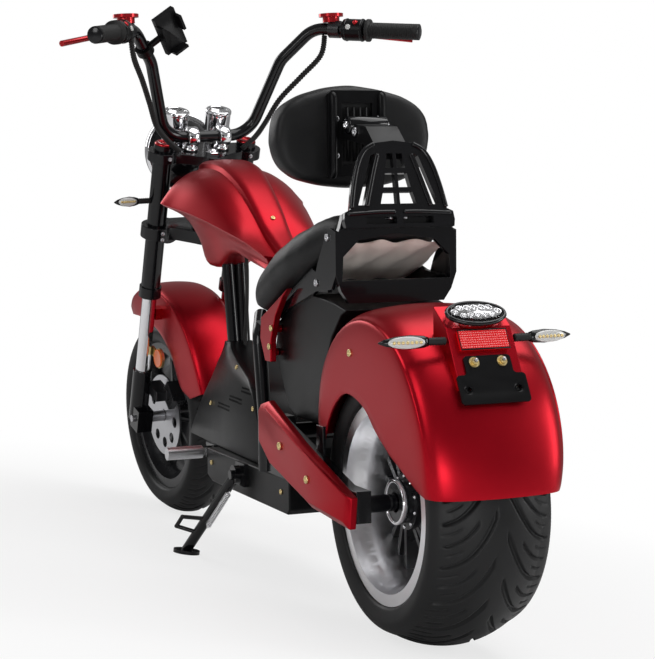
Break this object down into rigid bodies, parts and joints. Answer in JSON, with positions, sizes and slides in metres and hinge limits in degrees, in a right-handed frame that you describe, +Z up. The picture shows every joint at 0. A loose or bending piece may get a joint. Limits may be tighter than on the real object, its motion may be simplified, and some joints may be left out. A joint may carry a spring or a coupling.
{
  "type": "electric chopper scooter",
  "caption": "Electric chopper scooter with high bars, a wide chrome rear wheel, a red tank and fenders, a saddle and a backrest with a rack, leaning on its side stand.",
  "frame": {"origin": "on the floor below the middle of the parked scooter's box", "axes": "+Z up, front faces -Y, +X is the rider's left, the side it leans to"},
  "size_m": [0.7817, 1.7859, 1.1373],
  "materials": {
    "frame_black": "gloss black paint",
    "body_red": "satin metallic dark red",
    "plastic_black": "moulded black plastic",
    "seat_black": "black grained vinyl",
    "pan_beige": "bare moulded plastic",
    "rubber_black": "ribbed rubber",
    "tyre_black": "road tread",
    "rim_chrome": "polished",
    "rim_black": "black cast alloy",
    "steel": "ground steel",
    "chrome": "chrome plate",
    "alloy": "cast alloy",
    "lamp_lens": "clear lens over chrome bowl",
    "red_lens": "prismatic red reflector",
    "amber_lens": "prismatic amber reflector",
    "lever_red": "anodised red"
  },
  "bodies": {
    "chassis": {"frame": "frame_black", "battery_box": "plastic_black", "centre_cover": "plastic_black", "under_seat_box": "plastic_black", "tank": "body_red", "seat": "seat_black", "seat_pan": "pan_beige", "side_strips": "body_red", "swingarm": "frame_black", "swingarm_covers": "body_red", "rear_axle": "frame_black", "rear_fender": "body_red", "tail_bracket": "body_red", "tail_lamp": "lamp_lens", "rear_reflector": "red_lens", "rear_indicators": "plastic_black", "plate_holder": "plastic_black", "backrest_bracket": "frame_black", "rack": "frame_black", "backrest_mount": "frame_black", "backrest_pad": "seat_black", "rear_caliper": "rim_black", "tank_cable": "rubber_black", "peg_brackets": "frame_black"},
    "rear_wheel": {"rear_tyre": "tyre_black", "rear_rim": "rim_chrome", "hub_motor": "rim_black", "rear_disc": "steel"},
    "steering": {"fork_clamps": "frame_black", "fork_legs": "frame_black", "front_axle": "steel", "front_fender": "body_red", "headlamp": "plastic_black", "gauges": "chrome", "handlebar": "frame_black", "grips": "rubber_black", "switch_pods": "plastic_black", "brake_levers": "lever_red", "phone_cradle": "plastic_black", "looms": "rubber_black", "front_indicators": "plastic_black", "horn": "plastic_black", "side_reflectors": "amber_lens", "front_caliper": "rim_black"},
    "front_wheel": {"front_tyre": "tyre_black", "front_rim": "rim_black", "front_disc": "steel"},
    "stand": {"side_stand": "frame_black", "stand_spring": "steel"},
    "peg_left": {"foot_peg_left": "alloy"},
    "peg_right": {"foot_peg_right": "alloy"}
  },
  "joints": [
    {"name": "rear_wheel_spin", "type": "hinge", "parent": "chassis", "child": "rear_wheel", "pos_m": [-0.10648, 0.661, 0.23544], "axis": [0.9877, 0, -0.1564], "continuous": true},
    {"name": "steering_turn", "type": "hinge", "parent": "chassis", "child": "steering", "pos_m": [-0.1095, -0.64227, 0.21637], "axis": [0.1465, 0.3502, 0.9251], "range_deg": [-43.5, 32.5]},
    {"name": "front_wheel_spin", "type": "hinge", "parent": "steering", "child": "front_wheel", "pos_m": [-0.10652, -0.66091, 0.22296], "axis": [0.9779, 0.0898, -0.1889], "continuous": true},
    {"name": "stand_fold", "type": "hinge", "parent": "chassis", "child": "stand", "pos_m": [0.01493, 0.064, 0.17736], "axis": [0.9877, 0, -0.1564], "range_deg": [0, 110]},
    {"name": "peg_left_fold", "type": "hinge", "parent": "chassis", "child": "peg_left", "pos_m": [-0.01444, -0.19, 0.19011], "axis": [0, -1, 0], "range_deg": [0, 75]},
    {"name": "peg_right_fold", "type": "hinge", "parent": "chassis", "child": "peg_right", "pos_m": [-0.20803, -0.19, 0.22077], "axis": [0, 1, 0], "range_deg": [0, 75]}
  ]
}
